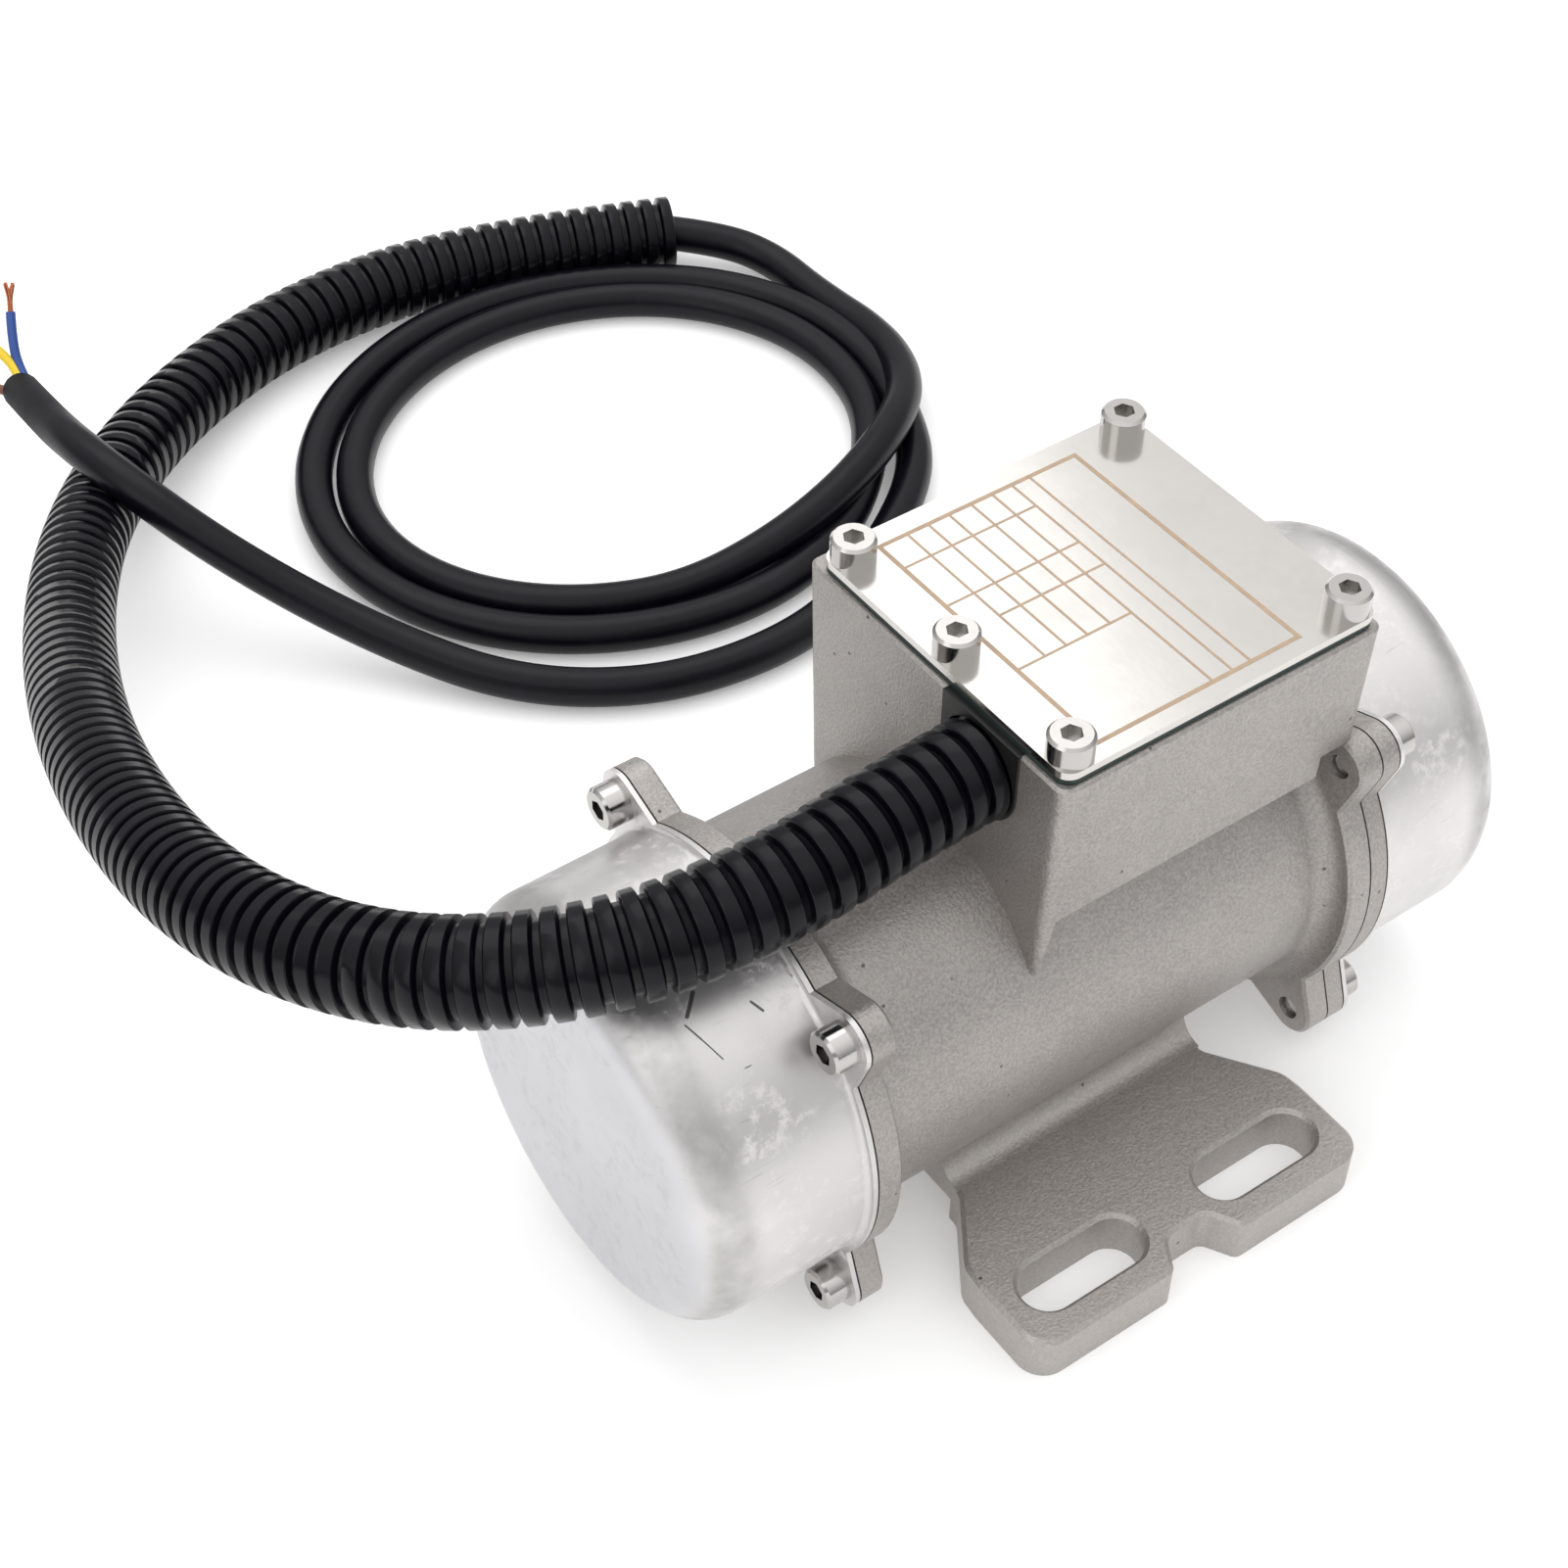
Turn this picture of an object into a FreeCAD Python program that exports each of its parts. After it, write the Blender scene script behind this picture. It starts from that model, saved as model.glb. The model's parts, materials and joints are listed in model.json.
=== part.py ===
import FreeCAD, Part
import math
import os
from FreeCAD import Vector

# Small eccentric-weight vibration motor with a cast stainless housing, two drawn
# end caps, a square terminal box and a corrugated conduit that carries its cable.
# Millimetres. X runs along the shaft, Z is up, Z = 0 is the underside of the foot,
# Y = 0 is the shaft plane and X = 0 is midway between the foot's slots.

# --- housing: lengths along the shaft -------------------------------------------
axis_z = 37.5            # shaft height above the foot's underside
near_face_x = -49.2      # outer face of the flange at the conduit end
far_face_x = 46.8        # outer face of the flange at the bearing shield end
flange_t = 4.3           # cast flange thickness
shield_t = 3.3           # bearing shield plate thickness
joint_gasket_t = 0.3     # paper gaskets between flange, shield and caps
cap_depth = 28.1         # drawn depth of an end cap, from its flange's outer face
sheet_t = 0.8            # end cap sheet thickness

# --- housing: sections -----------------------------------------------------------
body_r = 31.3            # outside radius of the cast barrel
stator_r = 27.4          # stator radius, which is the barrel's bore
rim_r = 36.2             # round rim of the flanges
ear_pcr = 40.2           # radius of the circle of flange screws
ear_r = 4.8              # rounded end of a flange ear
ear_half_angle = 12.0    # half the angle that an ear's foot takes of the rim
ear_angles = (45, 135, 225, 315)
barrel_fillet = 3.4      # hollow corner from the barrel to a flange
cast_edge = 0.5          # broken outer edges of the flanges and the box
cap_r = 35.0             # outside radius of an end cap
cap_corner_r = 8.0       # rounded corner of an end cap's closed end
cap_root_r = 0.9         # hollow corner from an end cap to its sheet flange

# --- foot ------------------------------------------------------------------------
foot_t = 8.8
foot_half_width = 56.8   # shaft plane to the foot's outer edge
lobe_half_length = 33.4  # half the length of the foot along the shaft at the slots
foot_edge = 0.7          # broken upper edges of the foot
web_half_length = 25.2   # half the length of the foot under the barrel
neck_half_width = 26.6   # shaft plane to where the foot starts to widen
web_half_width = 21.6    # half the width of the riser under the barrel
riser_fillet = 4.2
relief_z = 5.0           # height of the recess in the underside, below the barrel
relief_half_width = 24.6
slot_x = 17.8            # slot centres from the middle of the foot
slot_inset = 9.3         # slot centres from the foot's outer edge
slot_length = 22.8
slot_r = 4.6
notch_half_width = 6.4   # notch in the middle of each outer edge
notch_depth = 5.4

# --- terminal box ----------------------------------------------------------------
box_x0 = -14.9           # outer faces of the box walls
box_x1 = 45.2
box_half_width = 29.1
box_top_z = 94.1
back_ledge = 1.4         # extra thickness of the wall at the back
box_wall = 3.0
box_corner_r = 2.0
box_floor_z = 72.2       # floor of the wiring space
undercut_z = 67.0        # height where the side walls turn in to the barrel
undercut_slope = 42.0    # degrees that the undercut's roof falls towards the barrel
corner_post = 2.3        # wall left standing at the conduit end of an undercut
post_foot_z = 52.0       # height where that wall has narrowed to nothing
box_draft = 2.1          # degrees that the side walls lean in towards the barrel
lid_gap = 0.7            # rim of the box left showing round the lid
lid_t = 1.25
lid_gasket_t = 1.1
lid_corner_r = 2.6
lid_screw_inset = 3.55   # lid screw centre from the lid's edges
lid_boss_r = 3.7
lead_hole_r = 4.0        # passage for the winding leads from the barrel to the box
capacitor_size = (32.0, 18.0, 18.0)

# --- fasteners -------------------------------------------------------------------
screw_r = 2.0            # M4 shank
screw_head_r = 3.5
screw_head_h = 4.0
hex_across = 3.0
hex_depth = 2.4
hole_gap = 0.2           # radial room of a screw in a clearance hole
near_screw_reach = 5.2   # shank lengths below the heads
far_screw_short = 0.9    # how far the far screws stop inside the casting's ears
lid_screw_reach = 10.0
thread_gap = 0.03        # radial room of a screw in its tapped hole
fit_gap = 0.02           # radial room of a turned fit
lay_gap = 0.1            # room beside a part that is laid in place

# --- conduit and cable -----------------------------------------------------------
conduit_r = 7.9
conduit_y = -11.3        # conduit centre in the near wall of the box
conduit_z = 85.5
sealant_t = 0.6          # sealing compound between the conduit and the wall
cable_r = 3.8
core_r = 1.25
copper_r = 0.8

# --- rotor, stator and bearings --------------------------------------------------
stator_half_length = 19.0
air_gap = 0.3
rotor_r = 14.6
slot_count = 12
winding_reach = 11.0     # length of an end winding outside the stator core
shaft_core_r = 8.5       # shaft radius in the rotor core
shaft_bearing_r = 7.5
shaft_weight_r = 6.0     # shaft radius under the eccentric weights
shaft_tip = 1.3          # shaft beyond the circlips
shoulder_r = 9.4
bearing_r = 17.5
bearing_w = 11.0
ball_r = 2.95
ball_pitch_r = (shaft_bearing_r + bearing_r) / 2     # midway between bore and outside
ball_count = 7
race_gap = 0.06          # room between a ball and its grooves
race_land = 1.6          # from the balls' pitch circle to the lands of the races
boss_wall = 3.2          # wall round a bearing
seal_hole_r = 10.2       # hole for the shaft in a bearing's outer lip
lip_t = 1.5
wave_washer_t = 0.7

# --- eccentric weights -----------------------------------------------------------
weight_r = 29.5
weight_t = 8.5
weight_hub_r = 11.5
weight_half_angle = 80.0
weight_space = 0.4       # between a fixed and an adjustable weight
weight_start = 3.6       # from a cap's flange face to the fixed weight
clamp_lift = 1.7         # clamp screw above a loose weight's hub
clamp_half_width = 6.5
clamp_screw_r = 1.5
clip_t = 1.0
clip_r = 8.0
key_w = 4.0
key_h = 2.2

shaft_base = Vector(0, 0, axis_z)
along = Vector(1, 0, 0)
up = Vector(0, 0, 1)
written = []


def save(name, *solids):
    """Write one node; several solids go into one file as separate solids."""
    shape = solids[0] if len(solids) == 1 else Part.makeCompound(list(solids))
    shape.exportStep("parts/" + name + ".step")
    written.append((name, len(shape.Solids), shape.Volume, shape.isValid()))


def rounded_wire(corners, place):
    """A closed outline from (u, v, corner radius) points, laid out by place(u, v)."""
    flat = [(Vector(u, v, 0), r) for u, v, r in corners]
    stretches = []
    for i, (p, r) in enumerate(flat):
        before = (p - flat[i - 1][0]).normalize()
        after = (flat[(i + 1) % len(flat)][0] - p).normalize()
        turn = before.getAngle(after)
        if r == 0 or turn < 1e-6:
            stretches.append((p, None, p))
            continue
        cut = r * math.tan(turn / 2)
        inward = (after - before).normalize()
        middle = p + inward * (r / math.cos(turn / 2) - r)
        stretches.append((p - before * cut, middle, p + after * cut))
    laid = [[None if q is None else place(q.x, q.y) for q in s] for s in stretches]
    edges = []
    for i, (start, middle, end) in enumerate(laid):
        if middle is not None:
            edges.append(Part.Arc(start, middle, end).toShape())
        following = laid[(i + 1) % len(laid)][0]
        if end.distanceToPoint(following) > 1e-6:
            edges.append(Part.makeLine(end, following))
    return Part.Wire(edges)


def plate(corners, z, thickness):
    """A flat plate with a rounded outline in X and Y."""
    wire = rounded_wire(corners, lambda u, v: Vector(u, v, z))
    return Part.Face(wire).extrude(up * thickness)


def bar_along_x(corners, x, length):
    """A bar along the shaft from an outline in Y and Z."""
    wire = rounded_wire(corners, lambda u, v: Vector(x, u, v))
    return Part.Face(wire).extrude(along * length)


def rectangle(x0, x1, y0, y1, r):
    return [(x0, y0, r), (x1, y0, r), (x1, y1, r), (x0, y1, r)]


def turned(corners):
    """A solid of revolution about the shaft from (x, radius, corner radius) points."""
    wire = rounded_wire(corners, lambda u, v: Vector(u, 0, axis_z + v))
    return Part.Face(wire).revolve(shaft_base, along, 360)


def rod(r, x0, x1, y=0.0, z=axis_z):
    """A round rod along X."""
    return Part.makeCylinder(r, abs(x1 - x0), Vector(min(x0, x1), y, z), along)


def tube_ring(outer, inner, x0, x1):
    return rod(outer, x0, x1).cut(rod(inner, x0 - 1, x1 + 1))


def post(r, x, y, z0, z1):
    """A round post along Z."""
    return Part.makeCylinder(r, z1 - z0, Vector(x, y, z0), up)


def ear_spots(r=ear_pcr):
    """Y and Z of the flange screws."""
    turns = [math.radians(a) for a in ear_angles]
    return [(r * math.cos(t), axis_z + r * math.sin(t)) for t in turns]


def eared_plate(x, thickness, inset=0.0):
    """The flange outline, a round rim with four ears, as a plate across the shaft."""
    rim, end = rim_r - inset, ear_r - inset

    def spot(radius, turn):
        return Vector(x, radius * math.cos(turn), axis_z + radius * math.sin(turn))

    half = math.radians(ear_half_angle)
    side = math.hypot(rim * math.sin(half), ear_pcr - rim * math.cos(half))
    lean = math.atan2(rim * math.sin(half), ear_pcr - rim * math.cos(half))
    swing = math.asin(end / side)
    reach = math.sqrt(side ** 2 - end ** 2)
    edges = []
    for angle in ear_angles:
        middle = math.radians(angle)
        radial = spot(1, middle) - shaft_base - Vector(x, 0, 0)
        across = Vector(0, -radial.z, radial.y)

        def touch(sign):
            foot = spot(rim, middle + sign * half)
            tilt = lean - swing
            return foot + radial * (reach * math.cos(tilt)) - across * (sign * reach * math.sin(tilt))

        tip = spot(ear_pcr + end, middle)
        edges.append(Part.makeLine(spot(rim, middle - half), touch(-1)))
        edges.append(Part.Arc(touch(-1), tip, touch(1)).toShape())
        edges.append(Part.makeLine(touch(1), spot(rim, middle + half)))
        following = middle + math.radians(90) - half
        between = middle + math.radians(45)
        rim_arc = Part.Arc(spot(rim, middle + half), spot(rim, between), spot(rim, following))
        edges.append(rim_arc.toShape())
    return Part.Face(Part.Wire(edges)).extrude(along * thickness)


def break_edges(shape, width, chosen):
    """Break the edges whose end points are all chosen with a small chamfer."""
    edges = [e for e in shape.Edges if all(chosen(v.Point) for v in e.Vertexes)]
    return shape.makeChamfer(width, edges)


def drill(shape, radius, x0, x1):
    """Drill the four flange screw holes."""
    for y, z in ear_spots():
        shape = shape.cut(rod(radius, x0 - 0.5, x1 + 0.5, y, z))
    return shape


# --- the cast housing ------------------------------------------------------------
near_back_x = near_face_x + flange_t
far_back_x = far_face_x - flange_t
near_bearing_x = near_face_x + lip_t               # outer face of the near bearing
boss_r = bearing_r + boss_wall
boss_end_x = near_bearing_x + bearing_w + 0.5


def foot_plate():
    """The foot: four slotted lobes on a web, with a notch in each outer edge."""
    half = [
        (web_half_length, 0.0, 0),
        (web_half_length, neck_half_width, 3.0),
        (lobe_half_length - 0.4, neck_half_width + 11.2, 5.0),
        (lobe_half_length, neck_half_width + 15.2, 4.0),
        (lobe_half_length, foot_half_width, 4.8),
        (notch_half_width + 0.6, foot_half_width, 1.6),
        (notch_half_width - 2.6, foot_half_width - notch_depth, 2.4),
        (-notch_half_width + 2.6, foot_half_width - notch_depth, 2.4),
        (-notch_half_width - 0.6, foot_half_width, 1.6),
        (-lobe_half_length, foot_half_width, 4.8),
        (-lobe_half_length, neck_half_width + 15.2, 4.0),
        (-lobe_half_length + 0.4, neck_half_width + 11.2, 5.0),
        (-web_half_length, neck_half_width, 3.0),
    ]
    other = [(-x, -y, r) for x, y, r in half]
    foot = plate(half + other, 0, foot_t)
    straight = slot_length / 2 - slot_r
    for side in (-1, 1):
        for end in (-1, 1):
            x, y = end * slot_x, side * (foot_half_width - slot_inset)
            ring = rectangle(x - straight - slot_r, x + straight + slot_r,
                             y - slot_r, y + slot_r, slot_r)
            foot = foot.cut(plate(ring, -1, foot_t + 2))
    foot = break_edges(foot, foot_edge, lambda q: q.z > foot_t - 0.01)
    w, h = relief_half_width, web_half_length + 1
    return foot.cut(Part.makeBox(2 * h, 2 * w, relief_z + 1, Vector(-h, -w, -1)))


def riser():
    """The web between foot and barrel, with hollow corners on the foot."""
    w, f = web_half_width, riser_fillet
    section = []
    for side in (1, -1):
        section.append([(side * w, axis_z), (side * w, foot_t + f),
                        (side * (w + f), foot_t), (side * (w + f), foot_t - 1)])
    bend = math.sqrt(0.5) * f
    edges = []
    for side, pts in zip((1, -1), section):
        a, b, c, d = [Vector(-web_half_length, y, z) for y, z in pts]
        hollow = Vector(-web_half_length, side * (w + f - bend), foot_t + f - bend)
        edges.append([Part.makeLine(a, b), Part.Arc(b, hollow, c).toShape(), Part.makeLine(c, d)])
        section[0 if side == 1 else 1] = (a, d)
    loop = edges[0] + [Part.makeLine(section[0][1], section[1][1])]
    loop += edges[1] + [Part.makeLine(section[1][0], section[0][0])]
    wire = Part.Wire(Part.__sortEdges__(loop))
    return Part.Face(wire).extrude(along * (2 * web_half_length))


def undercut(side):
    """The hollow below a side wall of the box, outside the barrel."""
    fall = math.tan(math.radians(undercut_slope))
    reach, beyond = 8.5, 4.0
    w = box_half_width
    roof = [(side * (w + beyond), undercut_z + beyond * fall, 0),
            (side * (w - reach), undercut_z - reach * fall, 0),
            (side * (w - reach), axis_z, 0), (side * (w + beyond), axis_z, 0)]
    lean = corner_post / (undercut_z - post_foot_z)
    high, low = undercut_z + 6, axis_z - 1
    x0, x1 = box_x0 + lean * (low - post_foot_z), far_back_x
    hollow = bar_along_x(roof, x0, x1 - x0)
    corners = [Vector(box_x0 + lean * (high - post_foot_z), -2 * w, high), Vector(x1 + 1, -2 * w, high),
               Vector(x1 + 1, -2 * w, low), Vector(x0, -2 * w, low)]
    corners.append(corners[0])
    leaning_end = Part.Face(Part.makePolygon(corners)).extrude(Vector(0, 4 * w, 0))
    return hollow.common(leaning_end).cut(rod(body_r, x0 - 1, x1 + 1))


def lid_screw_spots():
    """Four corners and one more in the middle of the wall that the conduit leaves."""
    x0 = box_x0 + lid_gap + lid_screw_inset
    x1 = box_x1 - lid_gap - lid_screw_inset
    y = box_half_width - lid_gap - lid_screw_inset
    return [(x0, -y), (x1, -y), (x1, y), (x0, y), (x0, 0.4)]


def conduit_notch(extra, x0, x1):
    """A slot open at the top that the conduit lies in."""
    r = conduit_r + extra
    top = box_top_z + 1
    return rod(r, x0, x1, conduit_y, conduit_z).fuse(
        Part.makeBox(x1 - x0, 2 * r, top - conduit_z, Vector(x0, conduit_y - r, conduit_z)))


def box_outline(z):
    """The outside of the box at one height; its side walls are drafted."""
    w = box_half_width - (box_top_z - z) * math.tan(math.radians(box_draft))
    corners = rectangle(box_x0, box_x1, -w, w + back_ledge, box_corner_r)
    return rounded_wire(corners, lambda u, v: Vector(u, v, z))


def motor_body():
    outline = [
        (near_face_x, 0, 0), (near_face_x, rim_r - 1, 0), (near_back_x, rim_r - 1, 0),
        (near_back_x, body_r, barrel_fillet), (far_back_x, body_r, barrel_fillet),
        (far_back_x, rim_r - 1, 0), (far_face_x, rim_r - 1, 0), (far_face_x, 0, 0)]
    body = turned(outline)
    box = Part.makeLoft([box_outline(axis_z), box_outline(box_top_z)], True, True)
    box = break_edges(box, cast_edge, lambda q: q.z > box_top_z - 0.01)
    for side in (-1, 1):
        box = box.cut(undercut(side))
    for y, z in ear_spots():
        if z > axis_z:
            box = box.cut(rod(ear_r - 0.2, far_back_x - 4.5, far_back_x, y, z))
    near_flange = break_edges(eared_plate(near_face_x, flange_t), cast_edge,
                         lambda q: q.x > near_back_x - 0.01)
    far_flange = break_edges(eared_plate(far_back_x, flange_t), cast_edge,
                        lambda q: q.x < far_back_x + 0.01)
    body = body.fuse([box, foot_plate(), riser(), near_flange, far_flange])
    bore = [(boss_end_x, stator_r, 0), (far_face_x + 1, stator_r, 0), (far_face_x + 1, 0, 0),
            (near_face_x - 1, 0, 0), (near_face_x - 1, seal_hole_r, 0),
            (near_bearing_x, seal_hole_r, 0), (near_bearing_x, bearing_r + fit_gap, 0),
            (boss_end_x, bearing_r + fit_gap, 0), (boss_end_x, boss_r, 0),
            (near_bearing_x + 2.5, boss_r, 1.0), (near_bearing_x + 2.5, stator_r, 2.0)]
    body = body.cut(turned(bore))
    w = box_wall
    room = plate(rectangle(box_x0 + w, box_x1 - w, -box_half_width + w, box_half_width - w, 2.0),
                 box_floor_z, box_top_z - box_floor_z + 1)
    for x, y in lid_screw_spots():
        room = room.cut(post(lid_boss_r, x, y, box_floor_z - 1, box_top_z + 2))
    body = body.cut(room)
    body = body.cut(conduit_notch(sealant_t, box_x0 - 1, box_x0 + w + 1))
    for x, y in lid_screw_spots():
        body = body.cut(post(screw_r + thread_gap, x, y, box_top_z - lid_screw_reach - 2, box_top_z + 1))
    body = body.cut(post(lead_hole_r, -6.0, 8.0, axis_z + stator_r - 6, box_floor_z + 1))
    body = drill(body, screw_r + thread_gap, near_face_x, near_back_x)
    body = drill(body, screw_r + thread_gap, far_back_x, far_face_x)
    return body.removeSplitter()


# --- bearing shield, gaskets and end caps ----------------------------------------
shield_x = far_face_x + joint_gasket_t
shield_out_x = shield_x + shield_t
far_bearing_x = shield_out_x - lip_t - wave_washer_t   # outer face of the far bearing
near_cap_x = near_face_x - joint_gasket_t              # seats of the cap flanges
far_cap_x = shield_out_x + joint_gasket_t


def bearing_shield():
    inner_end = far_bearing_x - bearing_w - 0.5
    hub = turned([
        (inner_end, bearing_r + fit_gap, 0), (inner_end, boss_r, 0.6),
        (shield_x - 2.0, boss_r, 1.0), (shield_x - 2.0, stator_r - lay_gap, 0.4),
        (shield_x, stator_r - lay_gap, 0), (shield_x, rim_r, 0.3), (shield_out_x, rim_r, 0.3),
        (shield_out_x, seal_hole_r, 0), (shield_out_x - lip_t, seal_hole_r, 0),
        (shield_out_x - lip_t, bearing_r + fit_gap, 0)])
    shield = hub.fuse(eared_plate(shield_x, shield_t).cut(rod(rim_r - 2, shield_x - 1, shield_out_x + 1)))
    return drill(shield, screw_r + hole_gap, shield_x, shield_out_x).removeSplitter()


def flange_gasket(x):
    sheet = eared_plate(x, joint_gasket_t, 0.3).cut(rod(stator_r + 0.4, x - 1, x + 1))
    return drill(sheet, screw_r + hole_gap, x, x + joint_gasket_t)


def end_cap(seat_x, out):
    """A drawn cup on a thin eared flange; out is -1 or 1, the way the cup points."""
    t = sheet_t
    face = seat_x + out * t
    closed = face + out * cap_depth
    cup = turned([
        (seat_x, cap_r - t, 0), (seat_x, cap_r + 1.1, 0), (face, cap_r + 1.1, 0),
        (face, cap_r, cap_root_r), (closed, cap_r, cap_corner_r), (closed, 0, 0),
        (closed - out * t, 0, 0), (closed - out * t, cap_r - t, cap_corner_r - t)])
    ears = eared_plate(min(seat_x, face), t).cut(rod(cap_r - 0.4, seat_x - 2, seat_x + 2))
    return drill(cup.fuse(ears), screw_r + hole_gap, min(seat_x, face), max(seat_x, face)).removeSplitter()


# --- lid and fasteners -----------------------------------------------------------
def lid_outline(inset=0.0):
    g = lid_gap + inset
    return rectangle(box_x0 + g, box_x1 - g, -box_half_width + g, box_half_width - g, lid_corner_r - inset)


def lid_plate():
    lid = plate(lid_outline(), box_top_z + lid_gasket_t, lid_t)
    for x, y in lid_screw_spots():
        lid = lid.cut(post(screw_r + hole_gap, x, y, box_top_z, box_top_z + 9))
    return lid


def lid_gasket():
    band = 2 * lid_screw_inset - 0.6
    ring = plate(lid_outline(0.1), box_top_z, lid_gasket_t)
    ring = ring.cut(plate(lid_outline(band), box_top_z - 1, lid_gasket_t + 2).common(
        plate(rectangle(box_x0 + band, box_x1 - band, -box_half_width + band,
                        box_half_width - band, 1.5), box_top_z - 1, lid_gasket_t + 2)))
    for x, y in lid_screw_spots():
        ring = ring.cut(post(screw_r + hole_gap, x, y, box_top_z - 1, box_top_z + 9))
    return ring


def socket_screw(seat, way, length):
    """A hex-socket cap screw: seat is under the head, way points from tip to head."""
    bevel = 0.45
    top = screw_head_h
    half = [
        (0, -length, 0), (screw_r - 0.4, -length, 0), (screw_r, -length + 0.5, 0), (screw_r, 0, 0),
        (screw_head_r, 0, 0), (screw_head_r, top - bevel, 0), (screw_head_r - bevel, top, 0), (0, top, 0)]
    wire = rounded_wire(half, lambda u, v: Vector(u, 0, v))
    screw = Part.Face(wire).revolve(Vector(0, 0, 0), up, 360)
    across = hex_across / math.sqrt(3)
    turns = [math.radians(a) for a in range(0, 361, 60)]
    corners = [Vector(across * math.cos(t), across * math.sin(t), top - hex_depth) for t in turns]
    screw = screw.cut(Part.Face(Part.makePolygon(corners)).extrude(up * (hex_depth + 1)))
    turn = FreeCAD.Rotation(up, way)
    screw.Placement = FreeCAD.Placement(seat, turn)
    return screw


# --- stator and rotor ------------------------------------------------------------
stator_bore_r = rotor_r + air_gap
tooth_root_r = 22.6
slot_open = 1.6
slot_half_floor = 3.9
slot_half_mouth = 2.2
slot_start_r = stator_bore_r + 1.6


def spin(shape, degrees):
    turned_shape = shape.copy()
    turned_shape.rotate(shaft_base, along, degrees)
    return turned_shape


def winding_slot(inset, x0, x1):
    """One winding slot of the stator, at the top of the bore."""
    return bar_along_x([
        (-slot_half_mouth + inset, axis_z + slot_start_r + inset, 0.6),
        (slot_half_mouth - inset, axis_z + slot_start_r + inset, 0.6),
        (slot_half_floor - inset, axis_z + tooth_root_r - inset, 1.0),
        (-slot_half_floor + inset, axis_z + tooth_root_r - inset, 1.0)], x0, x1 - x0)


def stator_core():
    h = stator_half_length
    core = tube_ring(stator_r - fit_gap, stator_bore_r, -h, h)
    mouth = Part.makeBox(2 * h + 2, slot_open, slot_start_r - stator_bore_r + 2,
                         Vector(-h - 1, -slot_open / 2, axis_z + stator_bore_r - 1))
    cutter = winding_slot(0, -h - 1, h + 1).fuse(mouth)
    for k in range(slot_count):
        core = core.cut(spin(cutter, k * 360.0 / slot_count))
    return core


def stator_winding():
    """Coil sides in the slots, joined by the rounded bundles at both ends."""
    h = stator_half_length
    inner, outer = slot_start_r + 0.6, tooth_root_r + 1.2
    winding = None
    for out in (-1, 1):
        bundle = turned([
            (out * (h + 0.5), inner, 0.6), (out * (h + 0.5), outer, 0.6),
            (out * (h + winding_reach), outer, 2.6), (out * (h + winding_reach), inner, 2.6)])
        winding = bundle if winding is None else winding.fuse(bundle)
    side = winding_slot(0.35, -h - 1.5, h + 1.5)
    sides = [spin(side, k * 360.0 / slot_count) for k in range(slot_count)]
    return winding.fuse(sides)


def rotor_core():
    h = stator_half_length
    return turned([(-h, shaft_core_r + fit_gap, 0), (-h, rotor_r, 0.4), (h, rotor_r, 0.4),
                   (h, shaft_core_r + fit_gap, 0)])


def rotor_end_ring(out):
    """A cast end ring with short fan blades."""
    x0 = out * stator_half_length
    x1 = x0 + out * 4.0
    ring = tube_ring(rotor_r - 0.6, shaft_core_r + 2.0, min(x0, x1), max(x0, x1))
    blade = Part.makeBox(4.0, 1.4, 3.6, Vector(min(x1, x1 + out * 4.0), -0.7, axis_z + shaft_core_r + 2.2))
    root = Part.makeBox(0.6, 1.4, 3.6, Vector(x1 - 0.3, -0.7, axis_z + shaft_core_r + 2.2))
    blades = [spin(blade.fuse(root), k * 45.0) for k in range(8)]
    return ring.fuse(blades).removeSplitter()


def shaft():
    inner_near = near_bearing_x + bearing_w
    inner_far = far_bearing_x - bearing_w
    h = stator_half_length
    near_tip = clip_x(-1) - shaft_tip
    far_tip = clip_x(1) + clip_t + shaft_tip
    profile = [
        (near_tip, 0, 0), (near_tip, shaft_weight_r - 0.6, 0), (near_tip + 0.6, shaft_weight_r, 0),
        (near_cap_x - 1.5, shaft_weight_r, 0),
        (near_cap_x - 1.5, shaft_bearing_r, 0.3), (inner_near, shaft_bearing_r, 0),
        (inner_near, shoulder_r, 0.4), (-h - 4.5, shoulder_r, 0), (-h - 4.5, shaft_core_r, 0),
        (h + 4.5, shaft_core_r, 0), (h + 4.5, shoulder_r - 1.0, 0), (inner_far, shoulder_r - 1.0, 0.4),
        (inner_far, shaft_bearing_r, 0), (far_cap_x + 1.5, shaft_bearing_r, 0.3),
        (far_cap_x + 1.5, shaft_weight_r, 0), (far_tip - 0.6, shaft_weight_r, 0),
        (far_tip, shaft_weight_r - 0.6, 0), (far_tip, 0, 0)]
    bar = turned(profile)
    for out in (-1, 1):
        x0, x1 = key_span(out)
        bar = bar.cut(Part.makeBox(x1 - x0, key_w, key_h, Vector(x0, -key_w / 2, key_floor_z)))
        g0 = clip_x(out)
        bar = bar.cut(tube_ring(shaft_weight_r + 1, shaft_weight_r - 0.7, g0, g0 + clip_t))
    return bar


# --- bearings --------------------------------------------------------------------
def race(x0, bore, outside):
    """One ring of a ball bearing with its groove."""
    middle = x0 + bearing_w / 2
    ring = tube_ring(outside, bore, x0, x0 + bearing_w)
    groove = Part.makeTorus(ball_pitch_r, ball_r + race_gap, Vector(middle, 0, axis_z), along)
    return ring.cut(groove)


def balls(x0):
    middle = x0 + bearing_w / 2
    ball = Part.makeSphere(ball_r, Vector(middle, 0, axis_z + ball_pitch_r))
    return [spin(ball, k * 360.0 / ball_count) for k in range(ball_count)]


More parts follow.
